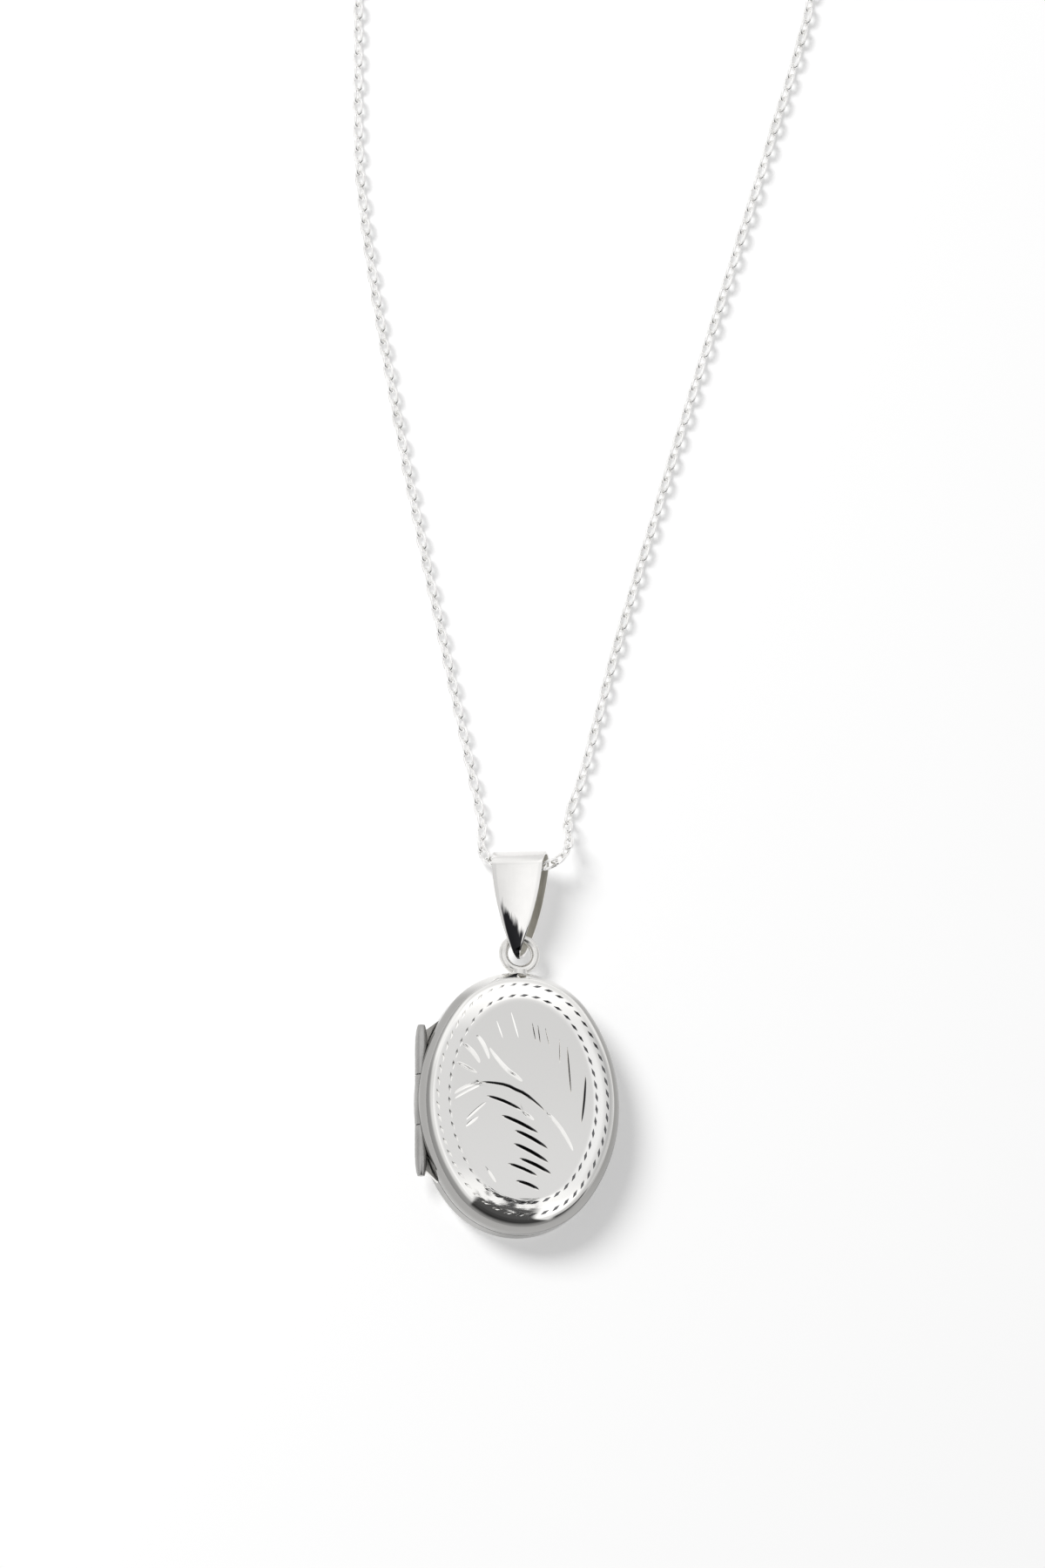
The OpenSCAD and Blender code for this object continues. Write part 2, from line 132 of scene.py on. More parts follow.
def fade(material, value, start, end):
    """0 at the start value and 1 at the end value, with a smooth change between."""
    ramp = material.node_tree.nodes.new("ShaderNodeMapRange")
    ramp.interpolation_type = "SMOOTHSTEP"
    ramp.inputs["From Min"].default_value = start
    ramp.inputs["From Max"].default_value = end
    material.node_tree.links.new(value, ramp.inputs["Value"])
    return ramp.outputs["Result"]


def object_axes(material):
    """The X, Y and Z of a point of the piece, as outputs of a node."""
    place = material.node_tree.nodes.new("ShaderNodeTexCoord")
    axes = material.node_tree.nodes.new("ShaderNodeSeparateXYZ")
    material.node_tree.links.new(place.outputs["Object"], axes.inputs["Vector"])
    return axes.outputs


case_middle = 2.3 * mm
# Painted shade on the upright sides of the case: where it sets in, its grey, a painted light towards the
# top end and a darker painted shade opposite the hinge.
side_shade_start = 1.94 * mm
side_shade_full = 1.76 * mm
side_shade_grey = (0.40, 0.395, 0.385)
top_light_start = 7.8 * mm
top_light_full = 9.8 * mm
top_side_light = (0.85, 0.845, 0.83)
right_shade_start = 4.0 * mm
right_shade_full = 7.5 * mm
right_side_shade = (0.32, 0.315, 0.305)


def paint_side_shade(material):
    """The upright sides of the case get a painted shade, a greyer tone that fades out over the round
    edges. The painted shade is lifted towards the top end, by the loop, and is darker on the side
    opposite the hinge."""
    across, along, height = object_axes(material)
    from_middle = arithmetic(material, "ABSOLUTE", arithmetic(material, "SUBTRACT", height, case_middle))
    in_side_shade = fade(material, from_middle, side_shade_start, side_shade_full)
    mix_tone(material, side_shade_grey, in_side_shade)
    toward_top = fade(material, along, top_light_start, top_light_full)
    mix_tone(material, top_side_light, arithmetic(material, "MULTIPLY", in_side_shade, toward_top))
    toward_right = fade(material, across, right_shade_start, right_shade_full)
    mix_tone(material, right_side_shade, arithmetic(material, "MULTIPLY", in_side_shade, toward_right))


def finish_node(name, material):
    """Gives a solid that is already right its finish."""
    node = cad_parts[name]
    node.data.materials.clear()
    node.data.materials.append(material)


# The back cover's silver carries the painted side shade.
case_silver_shaded = silver(
    "case_silver_shaded", (0.93, 0.92, 0.90), (0.86, 0.85, 0.83),
    dull=0.07, duller=0.16, hairline=0.10)
paint_side_shade(case_silver_shaded)
finish_node("back_cover", case_silver_shaded)


# Snap rim and picture frames: thin bands of the same sheet. The rim is soldered inside the back and
# the two frames are pressed in to hold a picture, so their finish is left from the press.

pressed_silver = silver(
    "pressed_silver", (0.88, 0.87, 0.85), (0.78, 0.77, 0.75),
    dull=0.16, duller=0.30, hairline=0.25)
finish_node("snap_rim", pressed_silver)
finish_node("back_frame", pressed_silver)
finish_node("front_frame", pressed_silver)


# Picture windows: two ovals cut from clear plastic sheet. They lie loose under the frames and are
# hazed by the fine rubbing marks of cleaning.

def clear_sheet(name):
    """Clear sheet whose gloss is broken by the haze of rubbing marks."""
    material = bpy.data.materials.new(name)
    material.use_nodes = True
    nodes = material.node_tree.nodes
    links = material.node_tree.links
    shader = nodes["Principled BSDF"]
    shader.inputs["Base Color"].default_value = (0.95, 0.97, 0.97, 1)
    shader.inputs["Transmission Weight"].default_value = 1.0
    shader.inputs["IOR"].default_value = 1.46
    place = nodes.new("ShaderNodeTexCoord")
    rubbing = nodes.new("ShaderNodeTexNoise")
    rubbing.inputs["Scale"].default_value = 2600
    rubbing.inputs["Detail"].default_value = 6
    links.new(place.outputs["Object"], rubbing.inputs["Vector"])
    haze = nodes.new("ShaderNodeMapRange")
    haze.inputs["From Min"].default_value = 0.45
    haze.inputs["From Max"].default_value = 0.75
    haze.inputs["To Min"].default_value = 0.02
    haze.inputs["To Max"].default_value = 0.14
    links.new(rubbing.outputs["Fac"], haze.inputs["Value"])
    links.new(haze.outputs["Result"], shader.inputs["Roughness"])
    return material


window_sheet = clear_sheet("window_sheet")
finish_node("back_window", window_sheet)
finish_node("front_window", window_sheet)


# Hinge: three lengths of silver tube on a wire pin. The outer two are soldered to the back cover and
# the middle one to the front. Their outer ends are filed slim, and the pin is riveted flush.

# The tubes and the pin are toned dark grey, a painted shade.
hinge_silver_shaded = silver(
    "hinge_silver_shaded", (0.46, 0.455, 0.445), (0.40, 0.395, 0.385),
    dull=0.26, duller=0.38, hairline=0.20)
solder_silver = silver(
    "solder_silver", (0.94, 0.93, 0.91), (0.84, 0.83, 0.81),
    dull=0.30, duller=0.45, hairline=0.20)
back_tube_bore = 0.26 * mm
front_tube_bore = 0.28 * mm
tube_end_bevel = 0.03 * mm
point_length = 1.7 * mm
# Strokes of the file: share of the point's length, and the factor by which its end shrinks.
point_strokes = [(0.45, 0.92), (0.35, 0.83), (0.20, 0.75)]
# The solder's four upper corners: distance from the pin, place along the case, height over the pin.
solder_corners = [
    (0.33 * mm, 4.0 * mm, 0.22 * mm), (0.60 * mm, 4.0 * mm, -0.12 * mm),
    (0.33 * mm, 5.6 * mm, 0.22 * mm), (1.60 * mm, 6.6 * mm, -0.12 * mm)]
solder_thick = 0.45 * mm


def start_piece():
    """Leaves edit mode and deselects everything, so that the next operator acts on one piece only."""
    if bpy.context.object and bpy.context.object.mode != "OBJECT":
        bpy.ops.object.mode_set(mode="OBJECT")
    bpy.ops.object.select_all(action="DESELECT")


def take(piece):
    """Makes one piece the only one that the next operator acts on."""
    start_piece()
    piece.select_set(True)
    bpy.context.view_layer.objects.active = piece


def pick(piece, kind, wanted):
    """Selects the vertices, edges or faces of the piece in edit mode for which wanted() is true."""
    bpy.ops.object.mode_set(mode="EDIT")
    bpy.ops.mesh.select_mode(type={"vertices": "VERT", "edges": "EDGE", "polygons": "FACE"}[kind])
    bpy.ops.mesh.select_all(action="DESELECT")
    bpy.ops.object.mode_set(mode="OBJECT")
    for item in getattr(piece.data, kind):
        item.select = wanted(item)
    bpy.ops.object.mode_set(mode="EDIT")


def set_down(piece):
    """Puts a finished piece's place into its mesh, so that its object sits at the origin."""
    take(piece)
    bpy.ops.object.transform_apply(location=True, rotation=True, scale=True)


def solder_to_case(tube, middle, pointed_end):
    """Fills the wedge between the end of a tube and the case with solder, clear of the front cover."""
    start_piece()
    bpy.ops.mesh.primitive_plane_add(size=mm)
    solder = bpy.context.object
    for vertex, (from_pin, along, above) in zip(solder.data.vertices, solder_corners):
        vertex.co = (middle.x + from_pin, pointed_end * along, middle.z + above)
    bpy.ops.object.mode_set(mode="EDIT")
    bpy.ops.mesh.select_all(action="SELECT")
    bpy.ops.mesh.extrude_region_move(TRANSFORM_OT_translate={"value": (0, 0, -solder_thick)})
    bpy.ops.mesh.select_all(action="SELECT")
    bpy.ops.mesh.normals_make_consistent(inside=False)
    solder.data.materials.append(solder_silver)
    take(tube)
    joint = tube.modifiers.new("joint", "BOOLEAN")
    joint.operation = "UNION"
    joint.solver = "EXACT"
    joint.material_mode = "TRANSFER"
    joint.object = solder
    bpy.ops.object.modifier_apply(modifier=joint.name)
    bpy.data.objects.remove(solder)


def hinge_tube(node, body, bore, pointed_end):
    """One length of tube with a bore, in the place of its solid. A pointed end, 1 for the upper and -1
    for the lower, is filed down to a slim bullet shape, and 0 leaves both ends square."""
    low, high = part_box(node)
    middle = (low + high) / 2
    radius = (high.z - low.z) / 2
    point = point_length if pointed_end else 0
    start_piece()
    bpy.ops.mesh.primitive_cylinder_add(
        vertices=40, radius=radius, depth=high.y - low.y - point, rotation=(math.radians(90), 0, 0),
        location=middle - Vector((0, pointed_end * point / 2, 0)))
    tube = bpy.context.object
    tube.name = "tube_" + node
    for end in (1, -1):
        rim = radius
        # The lying cylinder's own Z runs towards the lower end.
        pick(tube, "polygons", lambda face: face.normal.z * end < -0.9)
        if end == pointed_end:
            for share, shrink in point_strokes:
                rim *= shrink
                bpy.ops.mesh.extrude_region_move(
                    TRANSFORM_OT_translate={"value": (0, end * share * point, 0)})
                bpy.ops.transform.resize(value=(shrink, 1, shrink))
        bpy.ops.mesh.inset(thickness=rim - bore)
        bpy.ops.mesh.delete(type="FACE")
    pick(tube, "edges", lambda edge: all(
        math.hypot(*tube.data.vertices[v].co.xy) < bore * 1.05 for v in edge.vertices))
    bpy.ops.mesh.bridge_edge_loops()
    bpy.ops.object.mode_set(mode="OBJECT")
    ends = tube.modifiers.new("ends", "BEVEL")
    ends.width = tube_end_bevel
    ends.segments = 2
    ends.limit_method = "ANGLE"
    ends.angle_limit = math.radians(60)
    bpy.ops.object.modifier_apply(modifier=ends.name)
    set_down(tube)
    tube.data.materials.append(hinge_silver_shaded)
    if pointed_end:
        solder_to_case(tube, middle, pointed_end)
    bpy.ops.object.shade_smooth_by_angle(angle=math.radians(50))
    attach(tube, body)
    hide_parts(node)


hinge_tube("knuckle_upper", "case_back", back_tube_bore, pointed_end=1)
hinge_tube("knuckle_lower", "case_back", back_tube_bore, pointed_end=-1)
hinge_tube("knuckle_middle", "case_front", front_tube_bore, pointed_end=0)
finish_node("hinge_pin", hinge_silver_shaded)


# Front cover: pressed like the back, with a cushioned panel in a sloping border, then polished. Its
# panel and border are cut by hand with a graver: fern strokes inside two rows of stitches.

half_width = 8 * mm
half_height = 10.4 * mm
end_centre = 3.6 * mm
side_centre = 4.8 * mm
side_radius = half_width + side_centre
end_radius = half_height - end_centre
join_angle = math.atan2(end_centre, side_centre)
side_turn = 2 * join_angle
end_turn = math.pi - side_turn
front_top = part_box("front_cover")[1].z
# Inset from the outline and height over the top, in millimetres, from the panel out over the edge
# and back inside.
cover_profile = [
    (3.00, 0.00), (2.60, 0.00), (2.42, -0.008), (2.28, -0.025), (2.15, -0.050), (2.00, -0.070),
    (1.80, -0.095), (1.60, -0.122), (1.40, -0.152), (1.25, -0.178), (1.10, -0.210), (0.90, -0.265),
    (0.78, -0.325), (0.68, -0.405), (0.57, -0.510), (0.45, -0.640), (0.32, -0.800), (0.20, -0.980),
    (0.09, -1.170), (0.02, -1.370), (0.00, -1.550), (0.00, -1.800), (0.00, -2.200), (0.01, -2.240),
    (0.05, -2.270), (0.31, -2.270), (0.35, -2.240), (0.35, -1.200), (0.41, -0.920), (0.60, -0.640),
    (0.88, -0.460), (1.20, -0.390), (3.00, -0.350),
]


def profile_place(inset, above):
    """A point of the profile, which stands at the start of the right side's arc, square to the arc."""
    reach = side_radius - inset * mm
    across = reach * math.cos(join_angle) - side_centre
    along = -reach * math.sin(join_angle)
    return Vector((across, along, front_top + above * mm))


start_piece()
bpy.ops.mesh.primitive_plane_add(size=mm)
front = bpy.context.object
front.name = "front_engraved"
bpy.ops.object.mode_set(mode="EDIT")
bpy.ops.mesh.delete(type="ONLY_FACE")
bpy.ops.mesh.select_all(action="SELECT")
bpy.ops.mesh.merge(type="COLLAPSE")
bpy.ops.object.mode_set(mode="OBJECT")
front.data.vertices[0].co = profile_place(*cover_profile[0])
bpy.ops.object.mode_set(mode="EDIT")
bpy.ops.mesh.select_all(action="SELECT")
for before, after in zip(cover_profile, cover_profile[1:]):
    step = profile_place(*after) - profile_place(*before)
    bpy.ops.mesh.extrude_vertices_move(TRANSFORM_OT_translate={"value": step})
bpy.ops.mesh.select_all(action="SELECT")

# Four turns make the oval: right side, top end, left side, bottom end.
side_steps = 40
end_steps = 52
for centre, turn, steps in (
        ((-side_centre, 0, 0), side_turn, side_steps),
        ((0, end_centre, 0), end_turn, end_steps),
        ((side_centre, 0, 0), side_turn, side_steps),
        ((0, -end_centre, 0), end_turn, end_steps)):
    bpy.ops.mesh.spin(steps=steps, angle=turn, center=centre, axis=(0, 0, -1))
bpy.ops.mesh.select_all(action="SELECT")
bpy.ops.mesh.remove_doubles(threshold=0.002 * mm)
bpy.ops.mesh.fill_holes(sides=0)
bpy.ops.mesh.select_all(action="SELECT")
bpy.ops.mesh.normals_make_consistent(inside=False)
bpy.ops.object.mode_set(mode="OBJECT")

# Painted shade and light on the front cover: a grey painted shade on the border, lifted at both ends; a
# grey painted shade on the panel, lighter in its lower part; and a painted highlight between the rows of
# stitches opposite the hinge.
front_bright = (0.96, 0.95, 0.93)
border_shade = (0.70, 0.695, 0.685)
border_foot = front_top - 0.34 * mm
border_full = front_top - 0.22 * mm
border_end_start = 5.0 * mm
border_end_full = 7.6 * mm
panel_half_width = 5.85 * mm
panel_half_height = 8.3 * mm
panel_outside = 1.04
panel_inside = 0.86
panel_low = front_top - 0.4 * mm
panel_full = front_top - 0.2 * mm
upper_panel_shade = (0.65, 0.645, 0.635)
lower_panel_shade = (0.70, 0.695, 0.685)
lower_start = 7 * mm
lower_full = -8 * mm
row_highlight = (0.86, 0.855, 0.845)
row_foot = front_top - 0.165 * mm
row_low = front_top - 0.105 * mm
row_high = front_top - 0.03 * mm
off_hinge_start = 2.5 * mm
off_hinge_full = 5.2 * mm


def shaded_front_finish():
    """Polished silver with painted shade: a greyer border and panel, the panel lighter in its lower part.
    The border's painted shade is lifted at both ends of the oval, and opposite the hinge a painted
    highlight lies between its two rows of stitches."""
    finish = silver(
        "front_silver_shaded", front_bright, (0.91, 0.90, 0.88),
        dull=0.03, duller=0.09, hairline=0.06, grain=(60, 900, 260))
    paint_side_shade(finish)
    across, along, height = object_axes(finish)
    in_border_shade = fade(finish, height, border_foot, border_full)
    mix_tone(finish, border_shade, in_border_shade)
    lit_ends = fade(finish, arithmetic(finish, "ABSOLUTE", along), border_end_start, border_end_full)
    mix_tone(finish, front_bright, arithmetic(finish, "MULTIPLY", in_border_shade, lit_ends))

    # 1 on the oval round the panel, and less inside it.
    panel_spread = arithmetic(
        finish, "ADD",
        arithmetic(finish, "POWER", arithmetic(finish, "DIVIDE", across, panel_half_width), 2.0),
        arithmetic(finish, "POWER", arithmetic(finish, "DIVIDE", along, panel_half_height), 2.0))
    in_panel_shade = arithmetic(
        finish, "MULTIPLY",
        fade(finish, panel_spread, panel_outside, panel_inside),
        fade(finish, height, panel_low, panel_full))
    mix_tone(finish, upper_panel_shade, in_panel_shade)
    in_lower_part = fade(finish, along, lower_start, lower_full)
    mix_tone(finish, lower_panel_shade, arithmetic(finish, "MULTIPLY", in_panel_shade, in_lower_part))

    between_rows = arithmetic(
        finish, "MULTIPLY",
        fade(finish, height, row_foot, row_low), fade(finish, height, front_top, row_high))
    off_hinge = fade(finish, across, off_hinge_start, off_hinge_full)
    mix_tone(finish, row_highlight, arithmetic(finish, "MULTIPLY", between_rows, off_hinge))
    return finish


hinge_side_start = 4 * mm
hinge_side_full = -6 * mm


def cut_silver(name, deep_tone, start, deep, hinge_side_depth=0.0):
    """The bright wall of a graver's cut, whose tone darkens with depth. Towards the hinge side the dark
    sets in only at a greater depth."""
    material = silver(
        name, (0.94, 0.93, 0.91), (0.86, 0.85, 0.83), dull=0.05, duller=0.12, hairline=0.05)
    axes = object_axes(material)
    deeper_by_hinge = arithmetic(material, "MULTIPLY", fade(material, axes["X"], hinge_side_start, hinge_side_full), hinge_side_depth)
    height = arithmetic(material, "ADD", axes["Z"], deeper_by_hinge)
    mix_tone(material, deep_tone, fade(material, height, front_top - start, front_top - deep))
    return material


stitch_dark = (0.13, 0.13, 0.135)
bright_cut = cut_silver("bright_cut", (0.60, 0.59, 0.57), start=0.05 * mm, deep=0.12 * mm)
dark_cut = cut_silver("dark_cut", (0.12, 0.12, 0.125), start=0.03 * mm, deep=0.10 * mm)
stitch_cut = cut_silver(
    "stitch_cut", stitch_dark, start=0.07 * mm, deep=0.11 * mm, hinge_side_depth=0.042 * mm)
outer_stitch_cut = cut_silver(
    "outer_stitch_cut", stitch_dark, start=0.20 * mm, deep=0.24 * mm, hinge_side_depth=0.075 * mm)
for material in (shaded_front_finish(), bright_cut, dark_cut, stitch_cut, outer_stitch_cut):
    front.data.materials.append(material)


def carve(piece, cutter, keep_cut_finish=False):
    """Takes the cutter's shape out of the piece and removes the cutter."""
    take(piece)
    cut = piece.modifiers.new("cut", "BOOLEAN")
    cut.operation = "DIFFERENCE"
    cut.object = cutter
    cut.solver = "EXACT"
    cut.use_self = keep_cut_finish
    cut.material_mode = "TRANSFER" if keep_cut_finish else "INDEX"
    bpy.ops.object.modifier_apply(modifier=cut.name)
    bpy.data.objects.remove(cutter)


# Recesses for the turning tubes, and the nail nick opposite the hinge.
back_tube_recess = 0.54 * mm
front_tube_recess = 0.50 * mm
recess_end = 6.3 * mm
nick_radius = 1.5 * mm
nick_outside = 1.32 * mm
barrel_low, barrel_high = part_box("knuckle_upper")
barrel_axis = Vector(((barrel_low.x + barrel_high.x) / 2, 0, (barrel_low.z + barrel_high.z) / 2))
middle_low, middle_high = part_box("knuckle_middle")
half_gap = (barrel_low.y - middle_high.y) / 2
for low, high, radius in (
        (-recess_end, middle_low.y - half_gap, back_tube_recess),
        (middle_low.y - half_gap, middle_high.y + half_gap, front_tube_recess),
        (middle_high.y + half_gap, recess_end, back_tube_recess)):
    start_piece()
    bpy.ops.mesh.primitive_cylinder_add(
        vertices=40, radius=radius, depth=high - low, rotation=(math.radians(90), 0, 0),
        location=barrel_axis + Vector((0, (low + high) / 2, 0)))
    carve(front, bpy.context.object)
start_piece()
bpy.ops.mesh.primitive_uv_sphere_add(
    segments=48, ring_count=24, radius=nick_radius,
    location=(half_width + nick_outside, 0, barrel_axis.z))
carve(front, bpy.context.object)

# Strokes of the fern, in millimetres on the face: points, greatest width, depth, lean.
fern_strokes = [
    ([(-3.5, 1.15), (-2.0, 1.12), (-0.6, 0.7), (0.6, 0.05), (1.75, -0.95)], 0.30, 0.16, -1),
    ([(1.85, -1.0), (3.0, -2.25), (3.95, -3.95)], 0.34, 0.045, 1),
    ([(-5.5, 0.15), (-4.5, 0.8), (-3.3, 1.1)], 0.30, 0.04, 1),
    ([(-5.5, -0.25), (-4.4, 0.45), (-3.4, 0.95)], 0.20, 0.03, 1),
    ([(-2.95, 0.1), (-1.5, -0.3), (-0.1, -0.95)], 0.32, 0.15, -1),
    ([(-0.1, -1.0), (0.85, -1.65)], 0.34, 0.045, 1),
    ([(-1.75, -1.4), (-0.3, -1.95), (1.2, -2.7)], 0.37, 0.17, -1),
    ([(-0.7, -2.55), (0.6, -3.1), (1.95, -3.9)], 0.37, 0.17, -1),
    ([(-0.8, -3.6), (0.6, -4.2), (2.0, -5.0)], 0.38, 0.17, -1),
    ([(-0.35, -4.75), (1.0, -5.25), (2.2, -5.9)], 0.37, 0.17, -1),
    ([(-1.25, -5.2), (0.0, -5.6), (1.1, -6.1)], 0.34, 0.15, -1),
    ([(-0.6, -6.55), (0.4, -6.8), (1.25, -7.2)], 0.34, 0.16, -1),
    ([(-3.0, -0.4), (-3.8, -1.1), (-4.55, -1.85)], 0.22, 0.035, 1),
    ([(-3.6, -1.55), (-4.6, -2.4)], 0.28, 0.04, 1),
    ([(-2.9, -5.7), (-2.2, -6.75)], 0.26, 0.04, 1),
    ([(-5.4, 2.75), (-3.7, 1.9)], 0.36, 0.045, 1),
    ([(-4.9, 4.2), (-4.1, 3.6), (-3.5, 2.7)], 0.40, 0.05, 1),
    ([(-3.75, 4.9), (-3.2, 4.2), (-2.75, 3.05)], 0.36, 0.045, 1),
    ([(-2.75, 4.0), (-1.65, 2.6), (-0.75, 1.9), (-0.1, 1.4)], 0.40, 0.05, 1),
    ([(-2.15, 6.15), (-1.65, 4.75)], 0.11, 0.04, 1),
    ([(-1.0, 6.9), (-0.4, 4.85)], 0.12, 0.04, 1),
    ([(0.7, 6.1), (0.98, 4.65)], 0.08, 0.10, -1),
    ([(1.15, 5.95), (1.35, 4.45)], 0.08, 0.10, -1),
    ([(1.75, 5.75), (2.1, 4.25)], 0.08, 0.10, 1),
    ([(2.9, 4.9), (2.9, 2.95)], 0.08, 0.10, 1),
    ([(3.5, 4.3), (3.65, 2.4), (3.8, 0.6)], 0.14, 0.11, -1),
    ([(4.95, 2.1), (4.85, 0.2), (4.6, -1.7)], 0.22, 0.15, -1),
]
dark_from_depth = 0.1
lean_share = 0.30


def graver_cut(points, width, depth, lean):
    """A cut that starts fine, swells and runs out, bent along its stroke. Its deepest line leans to
    one side, so one wall is broad and flashes while the other is steep."""
    start_piece()
    bpy.ops.mesh.primitive_uv_sphere_add(
        segments=4, ring_count=8 if len(points) < 3 else 16, radius=1, rotation=(0, math.radians(90), 0))
    cut = bpy.context.object
    bpy.ops.object.transform_apply(rotation=True)
    stroke = [Vector((x * mm, y * mm, 0)) for x, y in points]
    spans = len(stroke) - 1
    for vertex in cut.data.vertices:
        along = min(max((vertex.co.x + 1) / 2, 0), 0.9999) * spans
        index = int(along)
        part = along - index
        before = stroke[max(index - 1, 0)]
        here, there = stroke[index], stroke[index + 1]
        after = stroke[min(index + 2, spans)]
        ahead = (there - before) * (1 - part) + (after - here) * part
        ahead.normalize()
        bow = (there - here) * part + here
        bow += ((here - before) - (after - there)) * 0.5 * part * (1 - part)
        side = Vector((-ahead.y, ahead.x, 0))
        across = vertex.co.y * width * mm / 2
        down = vertex.co.z * depth * mm
        if down < 0:
            across += lean * lean_share * width * mm * vertex.co.z
        vertex.co = bow + side * across + Vector((0, 0, front_top + down))
    cut.data.materials.append(dark_cut if depth >= dark_from_depth else bright_cut)
    return cut


# Half length, half width and depth of a stitch, and the place of its deepest point, -1 to 1 along it.
stitch_size = (0.47 * mm, 0.13 * mm, 0.10 * mm)
stitch_deepest = -0.5


def stitch_row(inset, under_top, count, slant, finish):
    """Stitches at even steps round the oval, each a short cut set aslant and deepest near one end."""
    side = side_radius - inset
    end = end_radius - inset
    arcs = [
        (Vector((-side_centre, 0, 0)), side, -join_angle, side_turn),
        (Vector((0, end_centre, 0)), end, join_angle, end_turn),
        (Vector((side_centre, 0, 0)), side, math.pi - join_angle, side_turn),
        (Vector((0, -end_centre, 0)), end, math.pi + join_angle, end_turn)]
    spacing = sum(radius * turn for centre, radius, first, turn in arcs) / count
    along = spacing / 2
    cuts = []
    for centre, radius, first, turn in arcs:
        while along < radius * turn:
            angle = first + along / radius
            out = Vector((math.cos(angle), math.sin(angle), 0))
            start_piece()
            bpy.ops.mesh.primitive_uv_sphere_add(segments=4, ring_count=2, radius=1)
            cut = bpy.context.object
            deepest = min(cut.data.vertices, key=lambda vertex: vertex.co.z)
            deepest.co.x = stitch_deepest
            cut.scale = stitch_size
            cut.rotation_euler = (0, 0, angle + math.radians(90 + slant))
            cut.location = centre + out * radius + Vector((0, 0, front_top - under_top))
            cut.data.materials.append(finish)
            cuts.append(cut)
            along += spacing
        along -= radius * turn
    return cuts


cuts = [graver_cut(*stroke) for stroke in fern_strokes]
cuts += stitch_row(inset=2.12 * mm, under_top=0.055 * mm, count=46, slant=10, finish=stitch_cut)
cuts += stitch_row(inset=1.22 * mm, under_top=0.185 * mm, count=52, slant=14, finish=outer_stitch_cut)
take(cuts[0])
for cut in cuts:
    cut.select_set(True)
bpy.ops.object.join()
bpy.ops.object.transform_apply(location=True, rotation=True, scale=True)
carve(front, cuts[0], keep_cut_finish=True)
take(front)
bpy.ops.object.shade_smooth_by_angle(angle=math.radians(18))
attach(front, "case_front")
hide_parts("front_cover")


# Hanging loop: a ring of round silver wire, soldered by a short foot to the top edge of the back. It is
# finished with the case but stays rougher, because the buff can't reach its inside, and its darker tone
# is a painted shade.

shaded_loop_silver = silver(
    "shaded_loop_silver", (0.80, 0.79, 0.77), (0.66, 0.65, 0.63),
    dull=0.18, duller=0.32, hairline=0.20)
finish_node("hanging_loop", shaded_loop_silver)


# Bail: one tapered strap of sheet folded through the loop, its two ends soldered at the tip. Its front is
# slightly crowned and polished, and a dark reflection is painted on it by the tip.

bail_pivot = Vector((0.3, 13.47, 1.84)) * mm
bail_rise = math.radians(4)
bail_roll = math.radians(26)
bail_slack = 0.2 * mm
strap_thick = 0.26 * mm
strap_depth = 1.30 * mm
strap_top = 5.8 * mm
strap_tip = -1.43 * mm
strap_width = 4.2 * mm
strap_edge_bevel = 0.08 * mm
tip_width = 0.3 * mm
side_bow = 0.42 * mm
crown = 0.07 * mm
tip_bend = 1.08 * mm
belly_radius = 9 * mm
belly_tilt = math.radians(13.5)
belly_start = 1.5 * mm


def strap_path():
    """Outer line of the folded strap seen from the side: length and depth, from the tip up the front,
    over the top and down the back to the tip again."""
    bend_steps, belly_steps, face_steps, top_steps = 8, 6, 5, 12
    face = []
    for step in range(bend_steps + 1):
        turn = (math.pi / 2 - belly_tilt) * step / bend_steps
        face.append((strap_tip + tip_bend * (1 - math.cos(turn)), tip_bend * math.sin(turn)))
    for step in range(1, belly_steps + 1):
        tilt = belly_tilt * (1 - step / belly_steps)
        face.append((
            belly_start - belly_radius * math.sin(tilt),
            strap_depth - belly_radius * (1 - math.cos(tilt))))
    for step in range(1, face_steps + 1):
        face.append((belly_start + (strap_top - belly_start) * step / face_steps, strap_depth))
    fold = []
    for step in range(1, top_steps):
        turn = math.pi * step / top_steps
        fold.append((strap_top + strap_depth * math.sin(turn), strap_depth * math.cos(turn)))
    back = [(length, -depth) for length, depth in reversed(face)]
    return face + fold + back


def strap_half_width(length):
    """Half the strap's width at a place along it: a straight taper plus the bow of its side edges."""
    run = strap_top + strap_depth - strap_tip
    part = (length - strap_tip) / run
    return (tip_width + (strap_width - tip_width) * part) / 2 + side_bow * 4 * part * (1 - part)


path = strap_path()
start_piece()
bpy.ops.mesh.primitive_grid_add(x_subdivisions=10, y_subdivisions=len(path) - 1, size=2)
bail = bpy.context.object
bail.name = "bail_strap"
for vertex in bail.data.vertices:
    length, depth = path[round((vertex.co.y + 1) / 2 * (len(path) - 1))]
    reach = vertex.co.x
    bulge = crown * (1 - reach * reach) * depth / strap_depth
    vertex.co = (reach * strap_half_width(length), length, depth + bulge)
bpy.ops.object.mode_set(mode="EDIT")
bpy.ops.mesh.select_all(action="SELECT")
bpy.ops.mesh.remove_doubles(threshold=0.002 * mm)
bpy.ops.mesh.normals_make_consistent(inside=False)
bpy.ops.object.mode_set(mode="OBJECT")
bail_silver_and_reflection = silver(
    "bail_silver_and_reflection", (0.88, 0.87, 0.855), (0.83, 0.82, 0.805),
    dull=0.06, duller=0.13, hairline=0.12, grain=(900, 60, 260))
